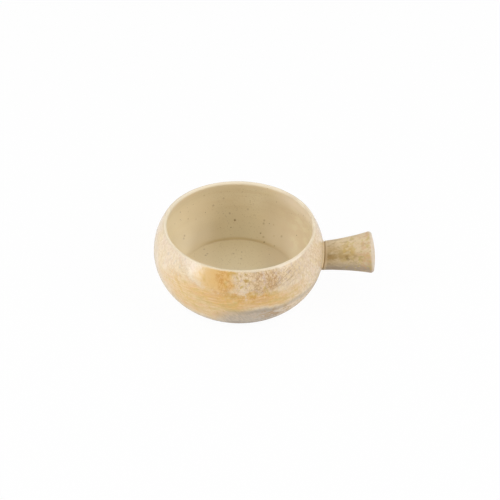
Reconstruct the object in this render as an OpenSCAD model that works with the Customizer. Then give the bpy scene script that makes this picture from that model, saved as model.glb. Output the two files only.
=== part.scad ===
// Handled onion soup crock: a round-bellied stoneware bowl with a flared stub handle.
// Millimetres. The origin is on the bowl's axis at the foot, +Z is up and +X runs along the handle.

/* [Bowl] */
// Widest diameter, over the glaze
belly_d = 128; // [110:1:150]
// Height over the lip
height = 56; // [52:0.5:62]
// Height of the widest place
belly_z = 32.1; // [30:0.1:35]
// Radius of the wall's curve above the widest place
shoulder_r = 42.7; // [40:0.1:48]
// Radius of the wall's curve below the widest place
bottom_r = 39.4; // [38:0.1:42]
// Wall thickness at the widest place and below it, with both glazes
wall = 5; // [4:0.1:6]
// Width of the lip, which the wall narrows to
lip_w = 3.2; // [2.6:0.1:4]

/* [Floor and foot] */
// Height of the inside floor
floor_z = 8.5; // [7:0.1:11]
// Radius of the flat floor inside
floor_r = 44; // [40:0.5:46]
// Radius of the small curve between floor and wall, inside
cove_r = 4.5; // [3:0.5:8]
// Radius of the turn from the wall to the underside
turn_r = 3; // [2:0.1:4]
// Diameter of the foot ring outside
foot_d = 90; // [80:1:94]
// Width of the foot ring where it stands
foot_w = 6.5; // [4:0.5:10]
// Height of the foot ring below the underside
foot_h = 2; // [1:0.1:3]
// Rounding of the foot ring's edges
foot_round = 0.8; // [0.4:0.1:1.2]
// Depth of the recess inside the foot ring
recess = 2.5; // [1.5:0.1:3]

/* [Handle] */
// Rise of the handle's axis, in degrees
handle_tilt = 7.5; // [0:0.1:12]
// Height where the handle's axis would cross the bowl's axis
handle_z = 20.7; // [18:0.1:25]
// Distance of the handle's end from the bowl's axis, along the handle
handle_end = 103.3; // [92:0.1:115]
// Diameter at the narrowest place of the handle's curve, over the glaze
neck_d = 21.5; // [18:0.1:24]
// Distance of that place from the bowl's axis, which can lie behind the wall's face
neck_at = 55.5; // [53:0.5:66]
// Radius of the hollow curve that flares the handle
flare_r = 196; // [120:2:300]
// Radius of the domed end
dome_r = 68; // [60:2:300]
// Rounding of the end's edge
end_round = 2.6; // [0.8:0.1:3]
// Thickness of the cast handle's clay
handle_wall = 4.2; // [3:0.1:5]
// Diameter of the vent hole underneath
vent_d = 2.2; // [1.5:0.1:3]
// Distance of the vent hole from the bowl's axis
vent_at = 74; // [70:1:85]

/* [Joint and glaze] */
// Height of the boss on the wall that the handle sits on
boss_h = 0.8; // [0.6:0.1:2]
// Thickness of the slip between boss and handle
slip = 0.6; // [0.5:0.1:1.2]
// How far the slip stays back from the handle's surface
crease = 0.7; // [0.5:0.1:1]
// Thickness of a glaze coat
glaze = 0.4; // [0.3:0.1:0.6]

/* [Hidden] */
$fn = 180;
lip_r = lip_w / 2;
inside_r = belly_d / 2 - wall;
foot_r = foot_d / 2;
boss_step = 0.15;
root_r = neck_d / 2 + flare_r - sqrt(flare_r * flare_r - pow(belly_d / 2 - neck_at, 2));
boss_r = root_r + boss_step;
foot_in = foot_r - foot_w;
recess_slope = 1.5;
bare_h = 1;
handle_start = neck_at - 5;
wall_step = 3;
corner_step = 15;

// A point at a distance and angle from another
function polar(from, r, a) = from + r * [cos(a), sin(a)];

// The angle of the line from one point to another
function angle_to(from, to) = atan2(to[1] - from[1], to[0] - from[0]);

// Where two circles cross, on the left of the line from the first centre to the second
function crossing(c1, r1, c2, r2) =
    let (gap = norm(c2 - c1))
    polar(c1, r1, angle_to(c1, c2) + acos((r1 * r1 + gap * gap - r2 * r2) / (2 * r1 * gap)));

// The point at a height on a circle, on its right side
function right_at(c, r, z) = [c[0] + sqrt(r * r - pow(z - c[1], 2)), z];

// Points along an arc in steps of about so many degrees, without its first point
function arc(c, r, a0, a1, step) =
    let (n = ceil(abs(a1 - a0) / step))
    [for (i = [1:n]) polar(c, r, a0 + (a1 - a0) * i / n)];

function reversed(points) = [for (i = [len(points) - 1:-1:0]) points[i]];

// Centres of the wall's curves in the section, as [radius, height]
shoulder_c = [belly_d / 2 - shoulder_r, belly_z];
bottom_c = [belly_d / 2 - bottom_r, belly_z];
lip_c = right_at(shoulder_c, shoulder_r - lip_r, height - lip_r);
turn_c = right_at(bottom_c, bottom_r - turn_r, foot_h + turn_r);
cove_c = [floor_r, floor_z + cove_r];

// Radius of an inner curve that is upright at the widest place and touches a small circle at its
// end, which lies outside the curve (side 1) or inside it (side -1)
function inner_curve(end, end_r, side) =
    let (off = end - [inside_r, belly_z])
    (off * off - end_r * end_r) / (2 * (side * end_r - off[0]));

high_r = inner_curve(lip_c, lip_r, 1);
low_r = inner_curve(cove_c, cove_r, -1);
high_c = [inside_r - high_r, belly_z];
low_c = [inside_r - low_r, belly_z];

// Angles at which those curves run into each other
lip_a = angle_to(shoulder_c, lip_c);
turn_a = angle_to(bottom_c, turn_c);
high_a = angle_to(high_c, lip_c);
low_a = angle_to(low_c, cove_c);

// Centres of the handle's curves in its section, as [radius, distance along the axis]
flare_c = [neck_d / 2 + flare_r, neck_at];
dome_c = [0, handle_end - dome_r];
end_c = crossing(dome_c, dome_r - end_round, flare_c, flare_r + end_round);

// The bowl's outer line from the underside up to the top of the lip, drawn in by a distance
function outer_line(inset) = concat(
    [polar(turn_c, turn_r - inset, -90)],
    arc(turn_c, turn_r - inset, -90, turn_a, corner_step),
    arc(bottom_c, bottom_r - inset, turn_a, 0, wall_step),
    arc(shoulder_c, shoulder_r - inset, 0, lip_a, wall_step),
    arc(lip_c, lip_r - inset, lip_a, 90, corner_step));

// The inner line from the top of the lip down to the floor, drawn into the wall by a distance
function inner_line(inset) = concat(
    [polar(lip_c, lip_r - inset, 90)],
    arc(lip_c, lip_r - inset, 90, high_a + 180, corner_step),
    arc(high_c, high_r + inset, high_a, 0, wall_step),
    arc(low_c, low_r + inset, 0, low_a, wall_step),
    arc(cove_c, cove_r + inset, low_a, -90, corner_step / 2),
    [[0, floor_z - inset]]);

// The line of the recess inside the foot ring, from the axis down to a height, drawn in by a distance
function recess_line(inset, low) = [
    [0, recess - inset],
    [foot_in - recess_slope - inset, recess - inset],
    [foot_in - recess_slope * low / recess - inset, low]];

// The bare foot ring's line, from inside to outside
function foot_line() =
    let (inside = [foot_in + foot_round, foot_round], outside = [foot_r - foot_round, foot_round])
    concat(
        arc(inside, foot_round, -180, -90, corner_step),
        [[outside[0], 0]],
        arc(outside, foot_round, -90, 0, corner_step),
        [[foot_r, foot_h + glaze]]);

// The handle's line from inside the wall to the middle of its end, drawn in by a distance
function handle_line(inset) = concat(
    [[0, handle_start]],
    [polar(flare_c, flare_r + inset, 180 + asin((neck_at - handle_start) / (flare_r + inset)))],
    arc(flare_c, flare_r + inset, 180, angle_to(flare_c, end_c), wall_step / 2),
    arc(end_c, end_round - inset, angle_to(end_c, flare_c), angle_to(dome_c, end_c), corner_step),
    arc(dome_c, dome_r - inset, angle_to(dome_c, end_c), 90, wall_step));

// The bowl's outside as a solid, grown by a distance, for fitting the handle to the wall
module belly_solid(grow) {
    rotate_extrude() {
        intersection() {
            translate(shoulder_c) circle(shoulder_r + grow);
            translate([0, belly_z]) square(belly_d);
        }
        intersection() {
            translate(bottom_c) circle(bottom_r + grow);
            square([belly_d, belly_z]);
        }
    }
}

// The layer between two distances from the bowl's outside
module belly_layer(from, to) {
    difference() {
        belly_solid(to);
        belly_solid(from);
    }
}

// Lays a shape that stands on the bowl's axis along the handle's axis
module on_handle_axis() {
    translate([0, 0, handle_z]) rotate([0, 90 - handle_tilt, 0]) children();
}

// A round bar through the wall where the handle sits
module boss_bar(r) {
    on_handle_axis() translate([0, 0, neck_at / 2]) cylinder(r = r, h = neck_at);
}

// The handle's outside, drawn in by a distance and cut to the curve of the bowl
module handle_solid(inset) {
    difference() {
        on_handle_axis() rotate_extrude() polygon(handle_line(inset));
        belly_solid(boss_h + slip);
    }
}

// The hollow inside the cast handle
module handle_core() {
    core_r = flare_r + glaze + handle_wall;
    core_end = handle_end - glaze - handle_wall;
    end_a = 180 - asin((core_end - neck_at) / core_r);
    start_a = 180 + asin((neck_at - handle_start) / core_r);
    on_handle_axis() rotate_extrude() polygon(concat(
        [[0, handle_start], polar(flare_c, core_r, start_a)],
        arc(flare_c, core_r, 180, end_a, wall_step / 2),
        [[0, core_end]]));
}

// The hole that lets steam out of the handle in the kiln
module vent() {
    on_handle_axis() translate([0, 0, vent_at]) rotate([0, 90, 0]) cylinder(d = vent_d, h = neck_d);
}

module bowl() {
    color("#dcc9a8") union() {
        rotate_extrude() polygon(concat(
            recess_line(0, foot_round),
            foot_line(),
            outer_line(glaze),
            inner_line(glaze)));
        intersection() {
            boss_bar(boss_r - glaze);
            belly_layer(-wall / 2, boss_h);
        }
    }
}

module handle() {
    color("#c9b08a") difference() {
        handle_solid(glaze);
        handle_core();
        vent();
    }
}

module handle_joint() {
    color("#8f7650") difference() {
        intersection() {
            boss_bar(boss_r - crease);
            belly_layer(boss_h, boss_h + slip);
        }
        handle_core();
    }
}

module inside_glaze() {
    color("#cdbd98") rotate_extrude() polygon(concat(inner_line(0), reversed(inner_line(glaze))));
}

module outside_glaze() {
    color("#e8d2a6") difference() {
        union() {
            rotate_extrude() polygon(concat(outer_line(0), reversed(outer_line(glaze))));
            intersection() {
                boss_bar(boss_r);
                belly_layer(-glaze / 2, boss_h);
            }
        }
        boss_bar(boss_r - glaze);
    }
}

module handle_glaze() {
    color("#bfa173") difference() {
        handle_solid(0);
        handle_solid(glaze);
        vent();
    }
}

module underside_glaze() {
    color("#e3d3b2") rotate_extrude() polygon(concat(recess_line(0, bare_h), reversed(recess_line(glaze, bare_h))));
}

bowl();
handle();
handle_joint();
inside_glaze();
outside_glaze();
handle_glaze();
underside_glaze();
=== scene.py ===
# Looks for the handled onion soup crock: fine glaze and clay meshes around the CAD frame,
# with procedural ceramic materials. Shapes are in millimetres here and turn into metres on the mesh.
import math

import bpy
import numpy as np
from mathutils import Matrix, Vector, noise


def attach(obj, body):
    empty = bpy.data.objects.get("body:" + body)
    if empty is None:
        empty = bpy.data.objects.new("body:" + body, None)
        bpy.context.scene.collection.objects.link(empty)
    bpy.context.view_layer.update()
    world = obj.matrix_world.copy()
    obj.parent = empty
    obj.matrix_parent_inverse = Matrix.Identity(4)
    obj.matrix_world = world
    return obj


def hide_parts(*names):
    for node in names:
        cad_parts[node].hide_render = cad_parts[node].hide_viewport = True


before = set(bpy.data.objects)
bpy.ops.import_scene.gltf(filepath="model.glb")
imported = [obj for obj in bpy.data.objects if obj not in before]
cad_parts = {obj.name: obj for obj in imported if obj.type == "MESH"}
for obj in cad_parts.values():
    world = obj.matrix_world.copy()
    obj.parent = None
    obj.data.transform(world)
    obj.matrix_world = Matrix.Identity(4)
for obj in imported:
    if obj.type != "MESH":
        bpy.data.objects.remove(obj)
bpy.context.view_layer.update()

MM = 0.001

# Sizes of the crock, the same as in the CAD source
BELLY_R = 64
HEIGHT = 56
BELLY_Z = 32.1
SHOULDER_R = 42.7
BOTTOM_R = 39.4
WALL = 5
LIP_R = 1.6
FLOOR_Z = 8.5
FLOOR_R = 44
COVE_R = 4.5
TURN_R = 3
FOOT_R = 45
FOOT_W = 6.5
FOOT_H = 2
FOOT_ROUND = 0.8
RECESS = 2.5
RECESS_SLOPE = 1.5
TILT = math.radians(7.5)
HANDLE_Z = 20.7
HANDLE_END = 103.3
NECK_R = 10.75
NECK_AT = 55.5
FLARE_R = 196
DOME_R = 68
END_ROUND = 2.6
HANDLE_WALL = 4.2
VENT_R = 1.1
VENT_AT = 74
BOSS_H = 0.8
BOSS_STEP = 0.15
BOSS_R = NECK_R + FLARE_R - math.sqrt(FLARE_R ** 2 - (BELLY_R - NECK_AT) ** 2) + BOSS_STEP
SLIP = 0.6
CREASE = 0.7
GLAZE = 0.4

# Unevenness of the thrown wall: a slow wave over a distance and a ripple four times as quick
WALL_WAVE = 0.16
WALL_WAVE_SIZE = 30
WALL_RIPPLE = 0.05
# Height over the foot at which that unevenness is full
WAVE_RISE = 8
# Unevenness of the cast handle, which fades out towards the middle of its end
HANDLE_WAVE = 0.12
HANDLE_WAVE_SIZE = 14
HANDLE_RIPPLE = 0.04
HANDLE_RIPPLE_SIZE = 4
HANDLE_MIDDLE = 6
# Where the outside glaze stops on the turn above the foot, and how far that strays
GLAZE_STOP = math.radians(-70)
GLAZE_STRAY = math.radians(16)
# Rounding of the recess's corner, and the angle at which it meets the foot ring
BEND_R = 1.2
BEND_END = 0.35
# The boss's rounding into the wall: where it starts inside the boss's edge, and its width
BOSS_EDGE = 0.3
BOSS_SPREAD = 2.2
# The slip fills its crease by this much more than the solid does, with a hollow face
SLIP_FILL = 0.35
SLIP_HOLLOW = 0.12
# The bead at the handle's root swells by a share of its radius, over a distance along the handle
BEAD_SWELL = 0.3
BEAD_REACH = 0.8
# Depth of the glaze's dip round the vent
VENT_DIP = 0.25
# About how long the handle's side is, and how much closer its rows are near the root
SIDE_LENGTH = 30
SIDE_CROWDING = 1.15
# Heights between which the wall's mesh is finer, for the joint with the handle
JOINT_LOW = 13
JOINT_HIGH = 41
# Radius of the smallest ring of a mesh, round its pole, on the bowl and on the handle's end
POLE_R = 1
END_POLE_R = 0.7
# Edges sharper than this show as edges
SHARP = math.radians(35)


def right_at(centre, radius, z):
    """The point at a height on a circle, on its right side."""
    return (centre[0] + math.sqrt(radius ** 2 - (z - centre[1]) ** 2), z)


def angle_to(a, b):
    """The angle of the line from one point to another."""
    return math.atan2(b[1] - a[1], b[0] - a[0])


# Centres of the wall's curves as (radius, height), and the angles at which they meet
TOP = math.pi / 2
SHOULDER_C = (BELLY_R - SHOULDER_R, BELLY_Z)
BOTTOM_C = (BELLY_R - BOTTOM_R, BELLY_Z)
LIP_C = right_at(SHOULDER_C, SHOULDER_R - LIP_R, HEIGHT - LIP_R)
TURN_C = right_at(BOTTOM_C, BOTTOM_R - TURN_R, FOOT_H + TURN_R)
LIP_A = angle_to(SHOULDER_C, LIP_C)
TURN_A = angle_to(BOTTOM_C, TURN_C)
FOOT_IN = FOOT_R - FOOT_W
BEND_C = (FOOT_IN - RECESS_SLOPE - BEND_R - GLAZE, RECESS - GLAZE - BEND_R)

# Inside, two curves leave the widest place upright: one ends on the lip and one in the cove
INSIDE_R = BELLY_R - WALL
COVE_C = (FLOOR_R, FLOOR_Z + COVE_R)


def inner_curve(end, end_r, side):
    """Radius of the curve that touches a circle on its outside (1) or inside (-1)."""
    across, up = end[0] - INSIDE_R, end[1] - BELLY_Z
    return (across ** 2 + up ** 2 - end_r ** 2) / (2 * (side * end_r - across))


HIGH_R = inner_curve(LIP_C, LIP_R, 1)
LOW_R = inner_curve(COVE_C, COVE_R, -1)
HIGH_C = (INSIDE_R - HIGH_R, BELLY_Z)
LOW_C = (INSIDE_R - LOW_R, BELLY_Z)
HIGH_A = angle_to(HIGH_C, LIP_C)
LOW_A = angle_to(LOW_C, COVE_C)


def wall_inside(z):
    """Radius of the wall's inside at a height over the cove."""
    centre, radius = (HIGH_C, HIGH_R) if z > BELLY_Z else (LOW_C, LOW_R)
    return right_at(centre, radius, z)[0]


# Every point of a section line is (radius, height, normal's radius part, normal's height part)

def arc(centre, radius, a0, a1, spacing, hollow=False):
    """Points along an arc, about evenly spaced, with both ends."""
    count = max(2, round(abs(a1 - a0) * abs(radius) / spacing) + 1)
    a = np.linspace(a0, a1, count)
    side = -1 if hollow else 1
    return np.stack([centre[0] + radius * np.cos(a), centre[1] + radius * np.sin(a),
                     side * np.cos(a), side * np.sin(a)], axis=1)


def level(r0, r1, z, count, up=1):
    """A level line from one radius to another."""
    r = np.linspace(r0, r1, count)
    return np.stack([r, np.full(count, z), np.zeros(count), np.full(count, up)], axis=1)


def joined(*lines):
    """One line from several that meet end to end, each meeting point kept once."""
    return np.concatenate([lines[0], *(line[1:] for line in lines[1:])])


def outer_line(inset, spacing, fine):
    """The wall's outside from the top of the lip to the turn above the foot."""
    low = math.asin((JOINT_LOW - BELLY_Z) / BOTTOM_R)
    high = math.asin((JOINT_HIGH - BELLY_Z) / SHOULDER_R)
    return joined(
        arc(LIP_C, LIP_R - inset, TOP, LIP_A, min(fine, 0.25)),
        arc(SHOULDER_C, SHOULDER_R - inset, LIP_A, high, spacing),
        arc(SHOULDER_C, SHOULDER_R - inset, high, 0, fine),
        arc(BOTTOM_C, BOTTOM_R - inset, 0, low, fine),
        arc(BOTTOM_C, BOTTOM_R - inset, low, TURN_A, spacing))


def inner_line(inset, spacing):
    """The inside from the top of the lip to the floor's edge, drawn into the wall by a distance."""
    return joined(
        arc(LIP_C, LIP_R - inset, TOP, HIGH_A + math.pi, min(spacing, 0.25)),
        arc(HIGH_C, HIGH_R + inset, HIGH_A, 0, spacing, hollow=True),
        arc(LOW_C, LOW_R + inset, 0, LOW_A, spacing, hollow=True),
        arc(COVE_C, COVE_R + inset, LOW_A, -TOP, min(spacing, 0.5), hollow=True))


# Columns round the crock, closer together near the handle
NEAR = math.radians(20)
COLUMNS = np.concatenate([
    np.linspace(-NEAR, NEAR, 112, endpoint=False),
    np.linspace(NEAR, 2 * math.pi - NEAR, 268, endpoint=False)])


def wobble(x, y, z):
    """Small unevenness of a jiggered wall, in millimetres along its normal."""
    out = np.empty(x.shape)
    for k in np.ndindex(x.shape):
        p = Vector((x[k], y[k], z[k])) / WALL_WAVE_SIZE
        out[k] = WALL_WAVE * noise.noise(p + Vector((7, 3, 1))) + WALL_RIPPLE * noise.noise(p * 4)
    return out


def handle_distance(x, y, z):
    """Distance from the handle's axis."""
    across = (z - HANDLE_Z) * math.cos(TILT) - x * math.sin(TILT)
    return np.hypot(across, y)


def boss_rise(rho):
    """How far the boss stands out of the wall at a distance from the handle's axis."""
    t = np.clip((rho - (BOSS_R - BOSS_EDGE)) / BOSS_SPREAD, 0, 1)
    return BOSS_H * (1 - t) ** 2 * (1 + 0.55 * t)


def glazed_boss(x, y, z, inset=0):
    """The boss's rise at points of the wall. Behind the axis there is none."""
    return boss_rise(np.where(x > 0, handle_distance(x, y, z) + inset, BELLY_R))


def clay_boss(x, y, z):
    """The boss of the clay, which is narrower than the glazed one by the glaze."""
    return glazed_boss(x, y, z, GLAZE)


def place(r, z, nr, nz, boss=None):
    """Points of rows round the crock, moved along their normals by the unevenness and the boss."""
    c, s = np.cos(COLUMNS)[None], np.sin(COLUMNS)[None]
    x, y, zz = r * c, r * s, z + 0 * c
    move = wobble(x, y, zz) * np.clip((zz - FOOT_H) / WAVE_RISE, 0, 1)
    if boss is not None:
        move = move + boss(x, y, zz) * (nr > 0)
    return np.stack([x + move * nr * c, y + move * nr * s, zz + move * nz], axis=-1)


def revolve(line, boss=None):
    """Rows of points from a section line, one row for each point of the line."""
    return place(*(line[:, k][:, None] for k in range(4)), boss)


def grid_mesh(name, rows, material, first_pole=None, last_pole=None, closed_rows=False):
    """A closed mesh from rows of points that each go round once, ended by poles or joined to a ring."""
    count, around, _ = rows.shape
    verts = rows.reshape(-1, 3).tolist()
    faces = []
    for a in range(count if closed_rows else count - 1):
        b = (a + 1) % count
        for j in range(around):
            k = (j + 1) % around
            faces.append((a * around + j, a * around + k, b * around + k, b * around + j))
    for pole, row in ((first_pole, 0), (last_pole, count - 1)):
        if pole is None:
            continue
        verts.append(list(pole))
        tip = len(verts) - 1
        for j in range(around):
            ring = (row * around + j, row * around + (j + 1) % around)
            faces.append((tip, ring[1], ring[0]) if row == 0 else (tip, ring[0], ring[1]))
    mesh = bpy.data.meshes.new(name)
    mesh.from_pydata([[v * MM for v in p] for p in verts], [], faces)
    mesh.validate()
    mesh.shade_smooth()
    mesh.set_sharp_from_angle(angle=SHARP)
    mesh.materials.append(material)
    piece = bpy.data.objects.new(name, mesh)
    bpy.context.scene.collection.objects.link(piece)
    face_out(mesh)
    return piece


def face_out(mesh):
    """Turns the faces outward if the mesh encloses a negative volume."""
    mesh.calc_loop_triangles()
    volume = 0.0
    for t in mesh.loop_triangles:
        a, b, c = (mesh.vertices[i].co for i in t.vertices)
        volume += a.dot(b.cross(c))
    if volume < 0:
        mesh.flip_normals()


def glaze_end(mean, spread):
    """The angle on a turn where a coat of glaze stops, a little different all round."""
    slow, quick = (
        np.array([noise.noise(Vector((pace * math.cos(c), pace * math.sin(c), mean))) for c in COLUMNS])
        for pace in (3, 14))
    return mean + spread * (slow + 0.5 * quick)


def outside_coat(material):
    """The outside glaze, from the lip over the boss to a thin, wavy end on the turn above the foot."""
    outer = revolve(outer_line(0, 1.0, 0.42), glazed_boss)
    end = glaze_end(GLAZE_STOP, GLAZE_STRAY)[None]
    t = np.linspace(0, 1, 12)[1:, None]
    a = TURN_A + (end - TURN_A) * t
    thin = TURN_R - GLAZE * np.clip((t - 0.7) / 0.3, 0, 1) ** 2
    turn = place(TURN_C[0] + thin * np.cos(a), TURN_C[1] + thin * np.sin(a), np.cos(a), np.sin(a))
    inner = revolve(outer_line(GLAZE, 2.5, 2.0), clay_boss)[::-1]
    return grid_mesh("outside_coat", np.concatenate([outer, turn, inner]), material, closed_rows=True)


def inside_coat(material):
    """The liner glaze, from the lip over the wall and the floor."""
    face = joined(level(POLE_R, FLOOR_R, FLOOR_Z, 44), inner_line(0, 1.0)[::-1])
    back = joined(inner_line(GLAZE, 2.5), level(FLOOR_R, POLE_R, FLOOR_Z - GLAZE, 8))
    rows = np.concatenate([revolve(face), revolve(back)])
    return grid_mesh("inside_coat", rows, material, (0, 0, FLOOR_Z), (0, 0, FLOOR_Z - GLAZE))


def underside_coat(material):
    """The glaze in the recess inside the foot ring."""
    face = joined(
        level(POLE_R, BEND_C[0], RECESS - GLAZE, 24, -1),
        arc(BEND_C, BEND_R, TOP, BEND_END, 0.15, hollow=True))
    back = joined(
        arc(BEND_C, BEND_R + GLAZE, BEND_END, TOP, 0.3, hollow=True),
        level(BEND_C[0], POLE_R, RECESS, 8, -1))
    rows = np.concatenate([revolve(face), revolve(back)])
    return grid_mesh("underside_coat", rows, material, (0, 0, RECESS - GLAZE), (0, 0, RECESS))


def bowl_body(material):
    """The clay, from the middle of the recess round the foot ring and over the lip to the floor."""
    clay_z = FOOT_H + GLAZE
    line = joined(
        level(POLE_R, BEND_C[0], RECESS, 10, -1),
        arc(BEND_C, BEND_R + GLAZE, TOP, BEND_END, 0.3, hollow=True),
        arc((FOOT_IN + FOOT_ROUND, FOOT_ROUND), FOOT_ROUND, math.pi, 1.5 * math.pi, 0.15),
        level(FOOT_IN + FOOT_ROUND, FOOT_R - FOOT_ROUND, 0, 8, -1),
        arc((FOOT_R - FOOT_ROUND, FOOT_ROUND), FOOT_ROUND, -TOP, 0, 0.15),
        arc((FOOT_R + FOOT_ROUND, clay_z - FOOT_ROUND), FOOT_ROUND, math.pi, TOP, 0.2, hollow=True),
        level(FOOT_R + FOOT_ROUND, TURN_C[0], clay_z, 5, -1),
        arc(TURN_C, TURN_R - GLAZE, -TOP, TURN_A, 0.4),
        outer_line(GLAZE, 1.6, 0.8)[::-1],
        inner_line(GLAZE, 2.2),
        level(FLOOR_R, POLE_R, FLOOR_Z - GLAZE, 8))
    return grid_mesh("bowl_body", revolve(line, clay_boss), material,
                     (0, 0, RECESS), (0, 0, FLOOR_Z - GLAZE))


# The handle, in distance along its axis from the bowl's axis and distance from that axis
TURNS = np.linspace(0, 2 * math.pi, 144, endpoint=False)
FLARE_C = (NECK_R + FLARE_R, NECK_AT)
DOME_C = (0, HANDLE_END - DOME_R)


def crossing(c1, r1, c2, r2):
    """Where two circles cross, on the left of the line from the first centre to the second."""
    gap = math.dist(c1, c2)
    turn = math.acos((r1 * r1 + gap * gap - r2 * r2) / (2 * r1 * gap))
    a = angle_to(c1, c2) + turn
    return (c1[0] + r1 * math.cos(a), c1[1] + r1 * math.sin(a))


END_C = crossing(DOME_C, DOME_R - END_ROUND, FLARE_C, FLARE_R + END_ROUND)
EDGE_A0 = angle_to(END_C, FLARE_C)
EDGE_A1 = angle_to(DOME_C, END_C)
FLARE_END = END_C[1] + END_ROUND * math.sin(EDGE_A0)


def flare_r(s, inset=0):
    """The handle's radius at a distance along its axis, drawn in by a distance."""
    return FLARE_C[0] - np.sqrt((FLARE_R + inset) ** 2 - (s - NECK_AT) ** 2)


def on_axis(s):
    """The point at a distance along the handle's axis."""
    return (s * math.cos(TILT), 0, HANDLE_Z + s * math.sin(TILT))


def handle_points(s, rho):
    """Points from distances along and from the handle's axis, for every turn round it."""
    s, rho = np.broadcast_arrays(s, rho, subok=False)[:2]
    s, rho = s + 0 * TURNS[None], rho + 0 * TURNS[None]
    up, side = rho * np.cos(TURNS)[None], rho * np.sin(TURNS)[None]
    x = s * math.cos(TILT) - up * math.sin(TILT)
    z = HANDLE_Z + s * math.sin(TILT) + up * math.cos(TILT)
    return np.stack([x, side, z], axis=-1)


def belly_distance(p):
    """How far points are outside the bowl's wall."""
    r, z = np.hypot(p[..., 0], p[..., 1]), p[..., 2]
    above = np.hypot(r - SHOULDER_C[0], z - BELLY_Z) - SHOULDER_R
    below = np.hypot(r - BOTTOM_C[0], z - BELLY_Z) - BOTTOM_R
    return np.where(z > BELLY_Z, above, below)


def root(rho, off):
    """Where lines along the handle at a radius meet the wall's surface grown by a distance."""
    low, high = np.full((1, len(TURNS)), 50.0), np.full((1, len(TURNS)), 80.0)
    for _ in range(40):
        mid = (low + high) / 2
        outside = belly_distance(handle_points(mid, rho)) > off
        high, low = np.where(outside, mid, high), np.where(outside, low, mid)
    return (low + high) / 2


def unevenness(p):
    """Small unevenness of the cast handle, in millimetres."""
    out = np.empty(p.shape[:-1])
    for k in np.ndindex(out.shape):
        here = Vector(p[k])
        out[k] = (HANDLE_WAVE * noise.noise(here / HANDLE_WAVE_SIZE)
                  + HANDLE_RIPPLE * noise.noise(here / HANDLE_RIPPLE_SIZE))
    return out


def handle_rows(inset, spacing, bead):
    """Rows from the root to near the middle of the end, with a rounded bead at the root."""
    start = root(NECK_R - inset, BOSS_H + SLIP)
    t = np.linspace(0, TOP, 7)[:, None]
    begin_s = start + bead * (1 - np.cos(t))
    begin_r = flare_r(begin_s, inset) - bead * (1 - np.sin(t))
    u = np.linspace(0, 1, round(SIDE_LENGTH / spacing))[1:, None]
    body_s = start + bead + (FLARE_END - start - bead) * u ** SIDE_CROWDING
    swell = BEAD_SWELL * bead * np.exp(-((body_s - start - bead) / BEAD_REACH) ** 2)
    body_r = flare_r(body_s, inset) + swell
    edge = arc(END_C, END_ROUND - inset, EDGE_A0, EDGE_A1, spacing / 3)[1:]
    dome = arc(DOME_C, DOME_R - inset, EDGE_A1, math.acos(END_POLE_R / DOME_R), spacing * 1.5)[1:]
    ends = np.concatenate([edge, dome])
    s = np.concatenate([begin_s, body_s, ends[:, 1][:, None] + 0 * start])
    rho = np.concatenate([begin_r, body_r, ends[:, 0][:, None] + 0 * start])
    p = handle_points(s, rho)
    vent = handle_points(np.array([[VENT_AT]]), flare_r(VENT_AT))[0, len(TURNS) // 2]
    dip = VENT_DIP * np.exp(-(np.linalg.norm(p - vent, axis=-1) / (2 * VENT_R)) ** 2)
    return handle_points(s, rho + (unevenness(p) - dip) * np.clip(rho / HANDLE_MIDDLE, 0, 1))


def cup_mesh(name, face, back, material, face_tip, back_tip):
    """A cup: its outside and inside rows, each with a pole on the axis, joined by a ring at the root."""
    rows = np.concatenate([face[::-1], back])
    return grid_mesh(name, rows, material, on_axis(face_tip), on_axis(back_tip))


def handle_coat(material):
    """The handle's glaze, over its side and its end."""
    face = handle_rows(0, 0.5, 0.3)
    back = handle_rows(GLAZE, 2.0, 0.1)
    return cup_mesh("handle_coat", face, back, material, HANDLE_END, HANDLE_END - GLAZE)


def handle_body(material):
    """The cast clay of the handle with its hollow, whose end has a small rounding."""
    face = handle_rows(GLAZE, 0.9, 0.15)
    core_end = HANDLE_END - GLAZE - HANDLE_WALL
    start = root(NECK_R - GLAZE - HANDLE_WALL, BOSS_H + SLIP)
    u = np.linspace(0, 1, 24)[:, None]
    s = start + (core_end - 1 - start) * u
    rho = flare_r(s, GLAZE + HANDLE_WALL)
    last = rho[-1:, :1]
    close_s = np.array([[core_end - 0.3], [core_end]]) + 0 * start
    close_r = np.concatenate([last - 0.3, last - 1.2]) + 0 * start
    back = handle_points(np.concatenate([s, close_s]), np.concatenate([rho, close_r]))
    return cup_mesh("handle_body", face, back, material, HANDLE_END - GLAZE, core_end)


def joint_ring(material):
    """The luting slip between boss and handle, a ring that stays back from the surface."""
    outer_r = BOSS_R - CREASE + SLIP_FILL
    inner_r = NECK_R - GLAZE - HANDLE_WALL
    rows = []
    for share in np.linspace(0, 1, 6):
        rho = outer_r - SLIP_HOLLOW * math.sin(math.pi * share)
        rows.append(handle_points(root(rho, BOSS_H + SLIP * share), rho))
    for share in (1, 0):
        rows.append(handle_points(root(inner_r, BOSS_H + SLIP * share), inner_r))
    return grid_mesh("joint_ring", np.concatenate(rows), material, closed_rows=True)


def drill_vent(piece):
    """Cuts the steam vent through the underside of a part of the handle."""
    up = Vector((-math.sin(TILT), 0, math.cos(TILT)))
    middle = Vector(on_axis(VENT_AT)) - up * NECK_R
    length = 12
    bpy.ops.mesh.primitive_cylinder_add(vertices=28, radius=VENT_R * MM, depth=length * MM)
    cutter = bpy.context.active_object
    cutter.matrix_world = up.to_track_quat("Z", "Y").to_matrix().to_4x4()
    cutter.location = middle * MM
    cut = piece.modifiers.new("vent", "BOOLEAN")
    cut.operation = "DIFFERENCE"
    cut.solver = "EXACT"
    cut.object = cutter
    bpy.context.view_layer.update()
    graph = bpy.context.evaluated_depsgraph_get()
    result = bpy.data.meshes.new_from_object(piece.evaluated_get(graph))
    piece.modifiers.clear()
    piece.data = result
    bpy.data.objects.remove(cutter)


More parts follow.
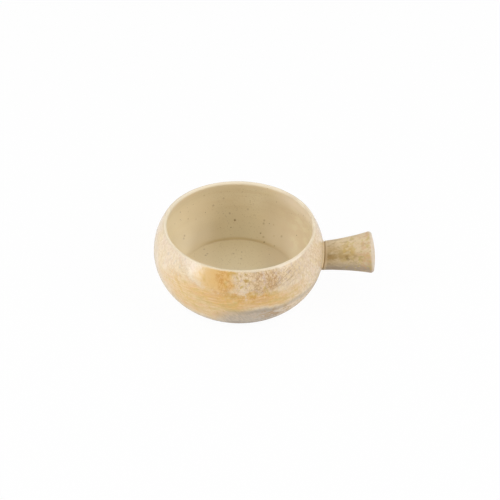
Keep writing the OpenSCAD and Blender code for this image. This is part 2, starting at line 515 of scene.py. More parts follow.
def linear(red, green, blue):
    """A linear colour from the 0 to 255 values that a screen shows."""
    out = []
    for v in (red / 255, green / 255, blue / 255):
        out.append(v / 12.92 if v <= 0.04045 else ((v + 0.055) / 1.055) ** 2.4)
    return (*out, 1)


class Nodes:
    """A node tree being put together. Numbers and sockets mix freely as inputs."""

    def __init__(self, owner):
        owner.use_nodes = True
        self.tree = owner.node_tree
        self.tree.nodes.clear()

    def node(self, kind, *inputs, **settings):
        """A new node with its settings, and its first inputs filled in order."""
        made = self.tree.nodes.new(kind)
        for key, value in settings.items():
            setattr(made, key, value)
        for k, value in enumerate(inputs):
            self.put(made.inputs[k], value)
        return made

    def put(self, socket, value):
        if isinstance(value, bpy.types.NodeSocket):
            self.tree.links.new(value, socket)
        else:
            socket.default_value = value

    def math(self, operation, a, b=0.0, c=0.0):
        return self.node("ShaderNodeMath", a, b, c, operation=operation).outputs[0]

    def times(self, a, b):
        return self.math("MULTIPLY", a, b)


class Material(Nodes):
    """A material that knows its places in millimetres and the colour that it has so far."""

    def __init__(self, name):
        self.material = bpy.data.materials.new(name)
        super().__init__(self.material)
        here = self.node("ShaderNodeTexCoord").outputs["Object"]
        self.at = self.vector("SCALE", here, scale=1 / MM)
        self.x, self.y, self.z = self.node("ShaderNodeSeparateXYZ", self.at).outputs

    def vector(self, operation, a, b=None, scale=None):
        made = self.node("ShaderNodeVectorMath", a, operation=operation)
        if b is not None:
            self.put(made.inputs[1], b)
        if scale is not None:
            self.put(made.inputs["Scale"], scale)
        return made.outputs["Value" if operation == "LENGTH" else "Vector"]

    def texture(self, kind, at, scale, **settings):
        """A noise or cell texture at places scaled up."""
        made = self.node(kind, **settings)
        self.put(made.inputs["Vector"], at)
        self.put(made.inputs["Scale"], scale)
        return made

    def add(self, a, b):
        return self.math("ADD", a, b)

    def less(self, a, b):
        return self.math("SUBTRACT", a, b)

    def absolute(self, a):
        return self.math("ABSOLUTE", a)

    def both(self, *masks):
        out = masks[0]
        for mask in masks[1:]:
            out = self.times(out, mask)
        return out

    def either(self, *masks):
        out = masks[0]
        for mask in masks[1:]:
            out = self.math("MAXIMUM", out, mask)
        return out

    def from_axis(self):
        """Distance from the bowl's axis."""
        return self.vector("LENGTH", self.vector("MULTIPLY", self.at, (1, 1, 0)))

    def fade(self, value, low, high, to_low=0.0, to_high=1.0):
        """A soft step from one value to another as the input goes from low to high."""
        return self.node("ShaderNodeMapRange", value, low, high, to_low, to_high,
                         interpolation_type="SMOOTHSTEP").outputs["Result"]

    def noise(self, size, seed, stretch=(1, 1, 1), at=None, detail=3.0):
        """Noise about 0.5 with features of a size in millimetres, drawn out by the stretch."""
        scale = tuple(1 / (size * k) for k in stretch)
        here = self.vector("MULTIPLY", self.at if at is None else at, scale)
        here = self.vector("ADD", here, (seed * 3.7, seed * 1.3, seed * 5.9))
        made = self.texture("ShaderNodeTexNoise", here, 1.0)
        made.inputs["Detail"].default_value = detail
        made.inputs["Roughness"].default_value = 0.55
        return made.outputs["Fac"]

    def moved(self, value, by, amount):
        """A value moved by a noise, up to half an amount each way."""
        return self.add(value, self.times(self.less(by, 0.5), amount))

    def veins(self, by, width):
        """Thin lines where a noise crosses its middle."""
        return self.fade(self.absolute(self.less(by, 0.5)), 0, width, 1, 0)

    def cracks(self, size, width, bend, seed, at):
        """Thin lines between bent cells of a size, in millimetres."""
        here = self.vector("ADD", at, (seed * 3.1, seed * 5.3, seed * 2.9))
        swirl = self.texture("ShaderNodeTexNoise", here, 1 / size)
        swirl.inputs["Detail"].default_value = 1.0
        bent = self.vector("ADD", here, self.vector("SCALE", swirl.outputs["Color"], scale=bend))
        made = self.texture("ShaderNodeTexVoronoi", bent, 1 / size, feature="DISTANCE_TO_EDGE")
        return self.fade(made.outputs["Distance"], 0, width / size, 1, 0)

    def blob(self, a, b, wide, high, soft=0.5):
        """A soft-edged patch, from the distances to its middle in two directions."""
        across = self.math("DIVIDE", a, wide)
        along = self.math("DIVIDE", b, high)
        off = self.math("SQRT", self.add(self.times(across, across), self.times(along, along)))
        return self.fade(off, 1 - soft, 1 + soft, 1, 0)

    def specks(self, size, radius, share, seed, at=None):
        """Sparse round specks: one in a share of the cells of a size, in millimetres."""
        here = self.vector("MULTIPLY", self.at if at is None else at, (1 / size,) * 3)
        here = self.vector("ADD", here, (seed * 2.3, seed * 7.1, seed * 4.7))
        made = self.texture("ShaderNodeTexVoronoi", here, 1.0)
        pick = self.node("ShaderNodeSeparateXYZ", made.outputs["Color"]).outputs
        chosen = self.fade(pick[0], share, share * 0.9)
        reach = self.times(self.fade(pick[1], 0, 1, 0.5, 1.0), radius / size)
        close = self.fade(self.math("DIVIDE", made.outputs["Distance"], reach), 0.6, 1.0, 1, 0)
        return self.times(close, chosen)

    def mix(self, share, a, b):
        """A mix of two colours, each a socket or the 0 to 255 values that a screen shows."""
        made = self.node("ShaderNodeMix", data_type="RGBA")
        self.put(made.inputs[0], share)
        for socket, colour in ((made.inputs[6], a), (made.inputs[7], b)):
            self.put(socket, linear(*colour) if isinstance(colour, tuple) else colour)
        return made.outputs[2]

    def start(self, share, a, b):
        """Starts the material's colour as a mix of two."""
        self.colour = self.mix(share, a, b)

    def lay(self, share, tone):
        """Lays a tone over the colour so far."""
        self.colour = self.mix(share, self.colour, tone)

    def finish(self, roughness, relief, depth, specular=0.5):
        """Joins colour, roughness and a relief with a depth in millimetres to the shader."""
        shader = self.node("ShaderNodeBsdfPrincipled")
        self.put(shader.inputs["Base Color"], self.colour)
        self.put(shader.inputs["Roughness"], roughness)
        shader.inputs["Specular IOR Level"].default_value = specular
        bump = self.node("ShaderNodeBump")
        bump.inputs["Strength"].default_value = 1.0
        bump.inputs["Distance"].default_value = depth * MM
        self.put(bump.inputs["Height"], relief)
        self.put(shader.inputs["Normal"], bump.outputs["Normal"])
        out = self.node("ShaderNodeOutputMaterial")
        self.put(out.inputs["Surface"], shader.outputs["BSDF"])
        return self.material


# Places on the wall are measured along one arc, which stands in for its two curves: how far
# its centre is from the bowl's axis, and its radius
WALL_ARC_C = 23
WALL_ARC_R = 41


def wall_up(z):
    """Distance along the wall from its widest place to a height, in millimetres."""
    if z > LIP_C[1]:
        r = LIP_C[0] + math.sqrt(max(LIP_R ** 2 - (z - LIP_C[1]) ** 2, 0))
    else:
        centre, radius = (SHOULDER_C, SHOULDER_R) if z > BELLY_Z else (BOTTOM_C, BOTTOM_R)
        r = right_at(centre, radius, z)[0]
    return WALL_ARC_R * math.atan2(z - BELLY_Z, r - WALL_ARC_C)


class WallMaterial(Material):
    """A material that knows its place on the wall: degrees from the front and distance up."""

    def __init__(self, name):
        super().__init__(name)
        r = self.from_axis()
        tilt = self.math("ARCTAN2", self.less(self.z, BELLY_Z), self.less(r, WALL_ARC_C))
        self.up = self.times(tilt, WALL_ARC_R)
        share = self.math("DIVIDE", BELLY_R, r)
        x, y = self.times(self.x, share), self.times(self.y, share)
        self.wall = self.node("ShaderNodeCombineXYZ", x, y, self.up).outputs[0]
        turn = self.math("ARCTAN2", self.x, self.times(self.y, -1))
        self.angle = self.times(turn, 180 / math.pi)

    def leaning(self, lean):
        """The wall's places turned about the axis by so many degrees for each millimetre up."""
        made = self.node("ShaderNodeVectorRotate", rotation_type="Z_AXIS")
        self.put(made.inputs["Vector"], self.wall)
        self.put(made.inputs["Angle"], self.times(self.up, math.radians(lean)))
        return made.outputs["Vector"]

    def ragged(self, size, seed, amount):
        """The wall's places bent by a noise of a size, by up to an amount, for ragged patches."""
        around = self.less(self.noise(size, seed, at=self.wall), 0.5)
        along = self.less(self.noise(size, seed + 11, at=self.wall), 0.5)
        return (self.math("MULTIPLY_ADD", around, amount * 2, self.angle),
                self.math("MULTIPLY_ADD", along, amount * 2, self.up))

    def patch(self, places, angle, z, wide, high, soft=0.5):
        """A soft-edged patch on the wall, its middle in degrees from the front and in height."""
        return self.blob(self.less(places[0], angle), self.less(places[1], wall_up(z)), wide, high, soft)


class ReactiveGlaze(WallMaterial):
    """The outside glaze, with the noises and the areas that several of its layers share."""

    def __init__(self, name):
        super().__init__(name)
        self.broad = self.ragged(20, 2, 12)
        self.torn = self.ragged(5, 1, 6)
        self.tall = self.vector("MULTIPLY", self.wall, (1, 1, 0.8))
        self.streak = self.noise(1.5, 3, stretch=(1, 1, 3), at=self.leaning(0.5))
        self.fleck = self.noise(1.3, 5, stretch=(1, 1, 1.5), at=self.wall)
        self.blotch = self.noise(5, 6, stretch=(1, 1, 1.6), at=self.wall)
        self.tint = self.noise(5, 10, stretch=(1, 1, 1.8), at=self.leaning(0.5))
        self.mottle = self.noise(3.2, 26, stretch=(1.3, 1.3, 1), at=self.wall)
        self.behind = self.fade(self.absolute(self.angle), 95, 120)
        self.peach = self.either(
            self.patch(self.torn, -79, 51, 6, 6, 0.7),
            self.patch(self.torn, -65, 42, 4, 8, 0.9),
            self.patch(self.broad, -43, 44, 9, 7, 0.8))
        self.belt = self.either(
            self.patch(self.broad, -21, 27, 35, 16, 0.45),
            self.patch(self.broad, 12, 34, 32, 9, 0.5))
        self.high = self.either(
            self.patch(self.torn, -15, 50, 15, 12, 0.35),
            self.patch(self.torn, -3, 54, 5, 3, 0.6))
        around_back = self.fade(self.noise(20, 12, at=self.wall), 0.58, 0.66)
        self.lilac = self.either(
            self.patch(self.torn, 16, 50, 19, 10, 0.3),
            self.patch(self.torn, 38, 50, 14, 7, 0.6),
            self.both(around_back, self.behind, 0.9))


def cream_ground(m):
    """Cream with pinkish and yellowish clouds, and a tan beside the handle that is painted shade and
    reflection from it.
    """
    m.start(m.fade(m.noise(26, 4, at=m.wall), 0.35, 0.65), (248, 231, 208), (244, 225, 198))
    # Painted shade and reflection from the handle: a tan on the wall beside it
    m.lay(m.times(m.patch(m.broad, 66, 40, 32, 34, 0.6), 0.9), (236, 213, 182))
    m.lay(m.fade(m.tint, 0.5, 0.62, 0, 0.45), (236, 210, 186))
    m.lay(m.fade(m.tint, 0.48, 0.36, 0, 0.45), (236, 216, 168))
    m.lay(m.times(m.peach, 0.5), (240, 219, 178))


def ochre_belt(m):
    """Ochre: a broad belt low on the front, deepest in the middle, and up to the lip beside it."""
    ochre = m.either(m.belt, m.high)
    clouds = m.both(m.fade(m.noise(24, 8, at=m.wall), 0.52, 0.66), m.behind)
    m.lay(m.times(m.either(ochre, clouds), 0.9), (235, 202, 148))
    deep = m.either(m.times(m.patch(m.torn, -12, 49, 12, 11), 0.75),
                    m.patch(m.broad, -6, 35, 24, 7, 0.6), m.patch(m.broad, 14, 35, 15, 6, 0.6))
    m.lay(m.times(deep, 0.95), (234, 188, 112))
    glow = m.either(m.patch(m.torn, 1, 39.5, 10, 2.4, 0.8), m.patch(m.torn, 15, 36.5, 10, 2.8, 0.9),
                    m.patch(m.torn, -8, 49, 4, 8, 0.9))
    m.lay(m.both(glow, m.fade(m.fleck, 0.35, 0.6), 0.65), (222, 170, 88))
    m.lay(m.both(ochre, m.fade(m.tint, 0.5, 0.6), 0.5), (226, 188, 108))
    m.lay(m.both(m.fade(m.streak, 0.54, 0.68), ochre, 0.3), (212, 170, 102))


def ochre_grain(m):
    """Fine grain, leaning strokes and throwing rings in the ochre."""
    grain = m.noise(1.1, 24, at=m.wall, detail=2)
    m.lay(m.both(m.fade(grain, 0.53, 0.66), m.belt, 0.45), (228, 188, 150))
    m.lay(m.both(m.fade(grain, 0.47, 0.34), m.belt, 0.45), (214, 180, 100))
    drawn = m.noise(4, 42, stretch=(3, 3, 1), at=m.leaning(-0.4))
    m.lay(m.both(m.fade(drawn, 0.53, 0.63), m.belt, 0.5), (232, 188, 140))
    m.lay(m.both(m.fade(drawn, 0.47, 0.37), m.belt, 0.5), (216, 188, 120))
    thrown = m.noise(0.8, 7, stretch=(9, 9, 1), at=m.wall, detail=2)
    ringed = m.either(m.belt, m.peach)
    m.lay(m.both(m.fade(thrown, 0.5, 0.7), ringed, 0.4), (212, 172, 108))
    m.lay(m.both(m.fade(thrown, 0.48, 0.34), ringed, 0.35), (248, 222, 180))


def burnt_curls(m):
    """Burnt orange curls where the ochre is thickest, and amber at the lip."""
    small = m.times(m.cracks(3, 0.6, 8, 23, m.tall), 0.6)
    curl = m.either(m.cracks(4.5, 0.8, 12, 9, m.tall), small)
    broken = m.fade(m.noise(4, 44, at=m.wall, detail=2), 0.4, 0.56)
    where = m.either(m.patch(m.torn, -8, 49, 7, 11), m.patch(m.torn, -3, 40, 13, 3.5),
                     m.patch(m.torn, 12, 37, 10, 2.5))
    m.lay(m.both(curl, broken, where, 0.8), (212, 152, 74))
    amber = m.patch(m.torn, -4, 53.5, 3, 2, 0.8)
    m.lay(m.both(amber, m.fade(m.fleck, 0.3, 0.5), 0.8), (208, 166, 66))


def crackle(m):
    """Pale crackle of cream and lilac cells with brown and olive veins, right of the ochre."""
    cells = m.fade(m.noise(2.4, 16, at=m.tall, detail=2), 0.5, 0.62)
    m.lay(m.times(m.lilac, 0.9), m.mix(cells, (238, 214, 174), (226, 204, 182)))
    olive = m.fade(m.noise(2.2, 14, at=m.tall, detail=2), 0.54, 0.64)
    yellow = m.either(m.patch(m.torn, 2, 50, 7, 9, 0.6), m.patch(m.torn, 16, 42, 10, 4, 0.6))
    m.lay(m.both(olive, yellow, 0.8), (204, 172, 84))
    warm = m.patch(m.torn, 19, 49, 9, 8, 0.6)
    m.lay(m.both(warm, m.fade(m.blotch, 0.4, 0.55), 0.5), (222, 188, 140))
    small = m.times(m.cracks(2, 0.45, 3, 19, m.tall), 0.6)
    net = m.either(m.cracks(3.2, 0.55, 5, 13, m.tall), small)
    net = m.times(net, m.fade(m.noise(3, 20, at=m.wall, detail=2), 0.38, 0.56, 0.2, 1))
    net = m.either(net, m.specks(1.9, 0.5, 0.4, 45, m.wall))
    share = m.both(m.fade(m.angle, 2, 16, 0.5, 0.75), m.fade(m.angle, 26, 38, 1, 0.5))
    tone = m.mix(m.fade(m.blotch, 0.4, 0.6), (182, 128, 70), (184, 144, 100))
    m.lay(m.both(net, m.lilac, share), tone)


def crackle_edges(m):
    """A mottled fringe under the crackle, feathered veins at its right and a brown swirl in it."""
    fringe = m.patch(m.torn, 8, 38.5, 18, 4.5, 0.7)
    m.lay(m.both(m.fade(m.mottle, 0.54, 0.64), fringe, 0.6), (238, 212, 184))
    m.lay(m.both(m.fade(m.mottle, 0.47, 0.37), fringe, 0.6), (210, 160, 78))
    feather = m.veins(m.noise(5, 46, stretch=(1, 1, 3), at=m.leaning(-2.2)), 0.035)
    m.lay(m.both(feather, m.patch(m.torn, 33, 47, 12, 6), 0.8), (178, 142, 106))
    swirl = m.patch(m.torn, 23, 50, 3.5, 5.5, 0.7)
    m.lay(m.both(swirl, m.fade(m.fleck, 0.4, 0.6), 0.55), (196, 146, 80))


def cream_flecks(m):
    """Soft loops, short runs, gleams and grey flecks on the cream, strongest near the handle."""
    plain = m.less(1.0, m.either(m.belt, m.lilac, m.high))
    by_handle = m.fade(m.absolute(m.less(m.angle, 66)), 40, 22)
    loops = m.times(m.cracks(4.5, 1.1, 7, 27, m.tall), m.fade(m.fleck, 0.35, 0.6))
    m.lay(m.both(loops, plain, m.fade(by_handle, 0, 1, 0.3, 0.6)), (212, 182, 134))
    dashes = m.times(m.fade(m.streak, 0.55, 0.68), plain)
    m.lay(m.times(dashes, m.fade(by_handle, 0, 1, 0.3, 0.5)), (216, 190, 148))
    m.lay(m.both(m.fade(m.fleck, 0.46, 0.34), plain, 0.5), (250, 234, 210))
    grey = m.fade(m.noise(1.5, 17, stretch=(1, 1, 2), at=m.wall), 0.56, 0.66)
    m.lay(m.both(grey, plain, 0.45), (216, 202, 184))


def grey_pool(m):
    """Grey-blue pool low on the front, with a darker upper edge that sweeps to the right."""
    slow = m.ragged(12, 18, 3)
    pool = m.patch(slow, 11, 11, 24, 15, 0.35)
    m.lay(m.times(pool, 0.85), m.mix(m.fade(m.streak, 0.42, 0.58), (206, 191, 172), (184, 172, 156)))
    sweep = m.times(m.patch(slow, 46, 23.5, 20, 2.2, 0.9), 0.65)
    edge = m.either(m.patch(slow, 19, 23, 18, 2.2, 0.9), sweep)
    m.lay(m.times(edge, 0.75), (172, 158, 140))
    tan = m.patch(m.torn, 27, 17.5, 13, 6, 0.6)
    m.lay(m.both(tan, m.fade(m.mottle, 0.42, 0.54), 0.75), (184, 146, 96))
    pale = m.patch(m.torn, 17, 17, 9, 4, 0.6)
    m.lay(m.both(pale, m.fade(m.streak, 0.48, 0.6), 0.5), (226, 214, 196))


def thin_edges(m):
    """Pale where the glaze breaks over the lip, with a painted highlight that takes it further down at the
    right of the front, and tan on the boss.
    """
    # A painted highlight that reaches further down the lip and is paler at the right of the front
    painted_lip_highlight = m.times(m.patch(m.broad, 37, 55, 20, 8, 0.7), 0.6)
    lip = m.fade(m.add(m.moved(m.z, m.blotch, 1.0), painted_lip_highlight), 55.2, 55.9)
    m.lay(m.times(lip, 0.8), m.mix(painted_lip_highlight, (236, 220, 190), (248, 232, 208)))
    by_joint = m.blob(m.y, m.less(m.z, HANDLE_Z + BELLY_R * math.tan(TILT)), 15, 15, 0.2)
    m.lay(m.both(by_joint, m.fade(m.x, 50, 58), 0.6), (222, 198, 154))


def outside_glaze():
    """The mottled reactive glaze, its layers from the ground up."""
    m = ReactiveGlaze("outside_glaze")
    for layer in (cream_ground, ochre_belt, ochre_grain, burnt_curls, crackle, crackle_edges,
                  cream_flecks, grey_pool, thin_edges):
        layer(m)
    m.lay(m.times(m.specks(7, 0.45, 0.3, 15, m.wall), 0.6), (160, 120, 70))
    relief = m.add(m.times(m.blotch, 0.4), m.times(m.fleck, 0.3))
    return m.finish(m.fade(m.blotch, 0.3, 0.7, 0.1, 0.16), relief, 0.05)


# Specks all over the liner: seed, cell size, radius, share of the cells, tone and strength
LINER_SPECKS = (
    (24, 9, 0.95, 0.5, (132, 106, 64), 0.6),
    (25, 5, 0.6, 0.65, (140, 114, 72), 0.65),
    (26, 6, 0.9, 0.4, (196, 170, 122), 0.5))
# The specks that show most, on the wall: turn from the back in degrees, height and strength
WALL_SPECKS = (
    (-4, 19, 0.8), (20, 21.3, 0.35), (20, 19, 0.4), (23, 11, 0.4), (-8, 24.2, 0.35), (-21, 33, 0.35),
    (-13, 38.5, 0.25), (6, 28, 0.25), (-51, 17.7, 0.35), (-53, 16.5, 0.3), (39, 15, 0.35))
# And on the floor: turn from the back in degrees, distance from the middle and strength
FLOOR_SPECKS = ((-9, 26, 0.35), (6, 19.5, 0.35), (-49, 34, 0.4), (-45, 34.5, 0.35), (-42, 40.5, 0.3))


def liner_tones(m):
    """Painted shade that deepens towards the floor, most in the middle, and in its cove, where the glaze
    also pools; painted light at the left and high at the right, painted shade low at the right, and paler
    over the lip.
    """
    aside = m.absolute(m.x)
    # The middle of the back and the front, where the painted shade is strongest
    centre = m.fade(aside, 48, 12)
    # Painted shade: darker towards the floor, most in the middle, and deeper still just over the floor
    m.lay(m.both(m.fade(m.z, 40, 16), m.fade(centre, 0, 1, 0.25, 0.6)), (219, 202, 161))
    m.lay(m.both(m.fade(m.z, 25, 11), m.fade(m.z, 8.6, 9.2), centre, 0.5), (206, 190, 147))
    m.lay(m.both(m.fade(m.noise(1, 30, detail=1), 0.64, 0.7), centre, 0.35), (170, 146, 100))
    m.lay(m.fade(m.add(m.z, m.times(m.noise(5, 23), 0.8)), 48, 55.5), (245, 231, 204))
    # Painted light on the left of the wall
    left = m.both(m.fade(m.x, -12, -28), m.fade(m.x, -54, -44), m.fade(m.z, 50, 38))
    m.lay(m.times(left, 0.45), (247, 231, 199))
    # Painted shade low on the right of the wall
    right = m.both(m.fade(m.x, 12, 26), m.fade(m.x, 46, 36), m.fade(m.z, 48, 38))
    m.lay(m.times(right, 0.55), (216, 198, 166))
    # Darker in the cove by the floor: glaze pooling there, with painted shade that is strongest in the
    # middle
    out = m.add(m.from_axis(), m.times(m.noise(9, 29), 1.6))
    cove = m.fade(m.absolute(m.less(out, FLOOR_R + 1.8)), 0.3, 2.4, 1, 0)
    m.lay(m.both(cove, m.fade(m.z, 13, 8.6), m.fade(aside, 40, 18, 0.1, 0.9)), (202, 180, 133))
    streaks = m.fade(m.noise(5, 27, stretch=(2, 2, 1)), 0.4, 0.6)
    m.lay(m.both(streaks, m.fade(m.x, 20, 46), 0.5), (222, 200, 168))
    # Painted shade low on the wall beside the middle, just above the floor
    painted_cove_shade = m.both(m.fade(aside, 8, 20), m.fade(aside, 42, 32), m.fade(m.z, 24, 13), m.fade(m.z, 8.5, 9.5))
    m.lay(m.times(painted_cove_shade, 0.45), (202, 180, 133))
    # Painted light high on the right of the wall, under the lip
    painted_light_under_lip = m.both(m.fade(m.z, 36, 51), m.fade(m.z, 55, 53), m.fade(m.x, 20, 42))
    m.lay(m.times(painted_light_under_lip, 0.9), (255, 244, 227))


def liner_specks(m):
    """Iron specks all over, then those that show most."""
    for seed, size, radius, share, tone, strength in LINER_SPECKS:
        m.lay(m.times(m.specks(size, radius, share, seed), strength), tone)
    marked = [(turn, wall_inside(up), up, strength) for turn, up, strength in WALL_SPECKS]
    marked += [(turn, out, FLOOR_Z, strength) for turn, out, strength in FLOOR_SPECKS]
    for turn, out, up, strength in marked:
        middle = (out * math.sin(math.radians(turn)), out * math.cos(math.radians(turn)), up)
        off = m.vector("LENGTH", m.vector("SUBTRACT", m.at, middle))
        m.lay(m.fade(off, 0.3, 1.3, strength, 0), (140, 106, 54))


def inside_glaze():
    """The speckled khaki cream of the liner, with soft throwing rings."""
    m = Material("inside_glaze")
    cloud = m.noise(30, 21)
    fine = m.noise(1.4, 22)
    rings = m.noise(3.5, 28, stretch=(12, 12, 1))
    m.start(m.fade(cloud, 0.3, 0.7), (240, 228, 198), (236, 222, 190))
    m.lay(m.fade(fine, 0.45, 0.75, 0, 0.3), (222, 206, 168))
    m.lay(m.fade(rings, 0.5, 0.7, 0, 0.25), (222, 202, 163))
    liner_tones(m)
    liner_specks(m)
    relief = m.add(m.times(rings, 0.8), m.times(fine, 0.2))
    return m.finish(m.fade(cloud, 0.3, 0.7, 0.4, 0.46), relief, 0.05)


class HandleGlaze(Material):
    """The handle's glaze, which knows the distance along its axis and the height over it."""

    def __init__(self, name):
        super().__init__(name)
        rise = self.less(self.z, HANDLE_Z)
        self.along = self.add(self.times(self.x, math.cos(TILT)), self.times(rise, math.sin(TILT)))
        self.over = self.less(self.times(rise, math.cos(TILT)), self.times(self.x, math.sin(TILT)))
        self.cloud = self.noise(6, 31, stretch=(1.5, 1, 1))
        self.fine = self.noise(1.3, 32, stretch=(1.6, 1, 1))


# Spots on the near side of the handle: distance along it, height over its axis, half width,
# half height, tone and strength
HANDLE_SPOTS = (
    (69, 6, 4.2, 2.2, (174, 138, 80), 0.7),
    (79, 6.5, 9, 2.8, (180, 148, 88), 0.65),
    (84, 9.5, 4.5, 2.6, (200, 166, 94), 0.75),
    (82, 4.8, 2.2, 1.2, (150, 122, 70), 0.7),
    (93, 4.8, 2.4, 1.4, (184, 160, 90), 0.75))


def handle_tones(m):
    """Tan, with painted light on top, an olive band over the axis and brown and olive spots at the near
    side.
    """
    m.start(m.fade(m.cloud, 0.35, 0.65), (220, 198, 158), (208, 183, 140))
    # Painted light on the top of the handle
    m.lay(m.times(m.fade(m.moved(m.over, m.cloud, 6), 8, 12), 0.7), (222, 200, 162))
    band = m.absolute(m.less(m.over, m.moved(6, m.noise(8, 37), 12)))
    patchy = m.fade(m.noise(5, 33, stretch=(1.6, 1, 1)), 0.38, 0.58)
    m.lay(m.both(m.fade(band, 1, 7, 1, 0), m.fade(m.along, 96, 80), patchy, 0.45), (194, 160, 96))
    near = m.fade(m.y, 4, -3)
    along = m.moved(m.along, m.noise(3, 33, detail=2), 7)
    over = m.moved(m.over, m.noise(3, 40, detail=2), 7)
    for at, up, wide, high, tone, strength in HANDLE_SPOTS:
        spot = m.blob(m.less(along, at), m.less(over, up), wide, high)
        m.lay(m.both(spot, near, strength), tone)
    brown = m.fade(m.noise(2.5, 34, stretch=(2.5, 1, 1)), 0.52, 0.7)
    m.lay(m.times(brown, 0.5), (168, 138, 88))


def handle_dapples(m):
    """Painted shade underneath and on the far side, with pale, rusty and olive dabs towards the end."""
    # Painted shade underneath the handle
    m.lay(m.times(m.fade(m.over, 3, -5), 0.85), (170, 153, 134))
    # Painted shade on the far side of the handle, where it turns away along its top edge
    turned = m.math("ARCTAN2", m.y, m.over)
    far = m.times(m.fade(turned, 0.42, 0.62), m.fade(turned, 0.9, 1.5, 0.75, 0.2))
    m.lay(far, (166, 150, 128))
    pale = m.fade(m.noise(3, 35, stretch=(1.8, 1, 1)), 0.54, 0.68)
    m.lay(m.times(pale, 0.45), (224, 206, 168))
    rust = m.fade(m.noise(3, 38), 0.46, 0.6)
    m.lay(m.both(rust, m.fade(m.along, 86, 98), 0.6), (210, 166, 124))
    dabs = m.fade(m.noise(3, 39, detail=2), 0.54, 0.62)
    m.lay(m.both(dabs, m.fade(m.along, 74, 84), 0.5), (202, 178, 104))
    m.lay(m.fade(m.fine, 0.56, 0.7, 0, 0.35), (172, 148, 104))


def handle_edges(m):
    """Painted highlights on the root's bead and round the rim of the end."""
    # Painted highlight on the root's bead
    across, up = m.less(m.from_axis(), SHOULDER_C[0]), m.less(m.z, BELLY_Z)
    from_centre = m.math("SQRT", m.add(m.times(across, across), m.times(up, up)))
    off = m.less(m.less(from_centre, SHOULDER_R), BOSS_H + SLIP)
    m.lay(m.times(m.fade(m.moved(off, m.fine, 1.5), 2.4, 1.0), 0.6), (222, 200, 162))
    # Painted highlight round the rim of the handle's end
    end = m.fade(m.moved(m.along, m.fine, 1.0), HANDLE_END - 4, HANDLE_END - 2.2)
    out = m.math("SQRT", m.add(m.times(m.over, m.over), m.times(m.y, m.y)))
    painted_end_highlight = m.fade(m.moved(out, m.cloud, 12), 9, 14, 0.15, 0.7)
    m.lay(m.times(end, painted_end_highlight), (226, 212, 192))


def handle_glaze():
    """The handle's mottled tan glaze, its layers from the ground up."""
    m = HandleGlaze("handle_glaze")
    for layer in (handle_tones, handle_dapples, handle_edges):
        layer(m)
    m.lay(m.times(m.specks(4, 0.4, 0.35, 36), 0.5), (140, 108, 66))
    relief = m.add(m.cloud, m.times(m.fine, 0.3))
    return m.finish(m.fade(m.cloud, 0.3, 0.7, 0.36, 0.44), relief, 0.1)


def underside_glaze():
    """Plain satin cream with few specks."""
    m = Material("underside_glaze")
    cloud = m.noise(11, 41)
    m.start(m.fade(cloud, 0.35, 0.65), (228, 212, 180), (220, 202, 168))
    m.lay(m.times(m.specks(7, 0.5, 0.3, 42), 0.7), (140, 108, 66))
    return m.finish(m.fade(cloud, 0.3, 0.7, 0.22, 0.34), m.noise(5, 43), 0.1)


def clay(name, tone, dark, seed):
    """Dry clay of two tones, with a fine grit that is darker still."""
    m = Material(name)
    grit = m.noise(0.5, seed + 1, detail=2)
    m.start(m.fade(m.noise(9, seed), 0.35, 0.65), tone, dark)
    m.lay(m.fade(grit, 0.6, 0.75, 0, 0.5), tuple(v - 46 for v in dark))
    relief = m.add(grit, m.times(m.noise(1.5, seed + 2), 0.6))
    return m.finish(0.82, relief, 0.08, specular=0.3)


def settle(piece, node):
    """Puts a piece on the one body, in place of its CAD node."""
    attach(piece, "root")
    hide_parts(node)


def build():
    """Makes the seven pieces, each with its material, in place of its CAD node."""
    pieces = (
        (bowl_body, clay("bare_clay", (222, 204, 172), (208, 188, 154), 51), "bowl", "bare_clay"),
        (outside_coat, outside_glaze(), "outside_glaze", "reactive_glaze"),
        (inside_coat, inside_glaze(), "inside_glaze", "liner_glaze"),
        (underside_coat, underside_glaze(), "underside_glaze", "base_glaze"),
        (handle_body, clay("handle_clay", (208, 186, 148), (194, 170, 132), 61), "handle", "handle_clay"),
        (handle_coat, handle_glaze(), "handle_glaze", "handle_glaze"),
        (joint_ring, clay("luting_slip", (184, 154, 112), (164, 134, 94), 71),
         "handle_joint", "luting_slip"))
    for make, material, node, slot in pieces:
        piece = make(material)
        if make in (handle_body, handle_coat):
            drill_vent(piece)
        settle(piece, node)


def set_camera():
    """The photo's view: a metre away, 38 degrees up, turned a little about the line of sight."""
    data = bpy.data.cameras.new("camera")
    data.lens = 95.24
    data.sensor_width = 36
    camera = bpy.data.objects.new("camera", data)
    bpy.context.scene.collection.objects.link(camera)
    rise, roll = math.radians(37.62), math.radians(1.79)
    away = Vector((0, -math.cos(rise), math.sin(rise)))
    up = Vector((-math.sin(roll), math.sin(rise) * math.cos(roll), math.cos(rise) * math.cos(roll)))
    right = up.cross(away)
    # The crock's middle lies left of the picture's middle and below it, as slopes of the line of sight
    left_by, below_by = 0.00856, 0.00302
    back = (away - right * left_by - up * below_by).normalized()
    side = up.cross(back).normalized()
    camera.matrix_world = Matrix((side, back.cross(side), back)).transposed().to_4x4()
    camera.location = Vector((0, 0, HEIGHT / 2 * MM)) + away
    bpy.context.scene.camera = camera


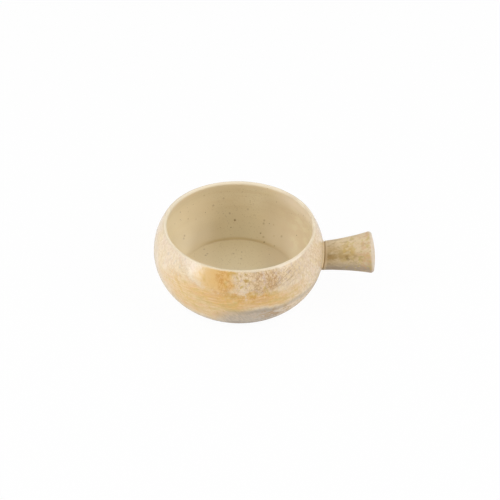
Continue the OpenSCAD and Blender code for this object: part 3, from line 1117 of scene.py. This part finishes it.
def make_floor():
    """A floor that is nearly white to the camera and still takes the crock's shadow."""
    bpy.ops.mesh.primitive_plane_add(size=6)
    floor = bpy.context.active_object
    floor.name = "floor"
    material = bpy.data.materials.new("floor")
    m = Nodes(material)
    lit = m.node("ShaderNodeBsdfDiffuse", (0.92, 0.92, 0.92, 1)).outputs[0]
    glow = m.node("ShaderNodeEmission", (1, 1, 1, 1), 1.0).outputs[0]
    share = m.times(m.node("ShaderNodeLightPath").outputs["Is Camera Ray"], 0.96)
    both = m.node("ShaderNodeMixShader", share, lit, glow).outputs[0]
    m.node("ShaderNodeOutputMaterial", both)
    floor.data.materials.append(material)


def make_world():
    """Pale to the camera and in reflections, and dimmer as a light on the crock."""
    world = bpy.data.worlds.new("studio")
    bpy.context.scene.world = world
    m = Nodes(world)
    path = m.node("ShaderNodeLightPath").outputs
    seen = m.math("MAXIMUM", path["Is Camera Ray"], path["Is Glossy Ray"])
    strength = m.node("ShaderNodeMapRange", seen, 0, 1, 0.38, 1.0).outputs["Result"]
    back = m.node("ShaderNodeBackground", (0.8, 0.8, 0.8, 1), strength).outputs[0]
    m.node("ShaderNodeOutputWorld", back)


# Lamps: name, azimuth, elevation, distance, width, height, and brightness as a reflection shows it
LAMPS = (
    ("left", -144, 22, 1.2, 0.44, 1.1, 3.4),
    ("left_high", -170, 45, 1.3, 0.8, 0.8, 2.0),
    ("right", -15, 30, 1.3, 0.9, 0.9, 2.7),
    ("right_high", 0, 50, 1.3, 0.8, 0.8, 1.0),
    ("back", 90, 45, 1.4, 1.0, 0.8, 1.2))


def softbox(name, azimuth, elevation, distance, width, height, radiance):
    """A rectangular area light that faces the crock."""
    data = bpy.data.lights.new(name, "AREA")
    data.shape = "RECTANGLE"
    data.size, data.size_y = width, height
    data.energy = radiance * math.pi * width * height
    lamp = bpy.data.objects.new(name, data)
    bpy.context.scene.collection.objects.link(lamp)
    a, e = math.radians(azimuth), math.radians(elevation)
    away = Vector((math.cos(a) * math.cos(e), math.sin(a) * math.cos(e), math.sin(e)))
    lamp.location = Vector((0, 0, 0.03)) + away * distance
    lamp.rotation_euler = away.to_track_quat("Z", "Y").to_euler()


set_camera()
build()
make_floor()
make_world()
for lamp in LAMPS:
    softbox(*lamp)
bpy.context.scene.view_settings.view_transform = "Standard"
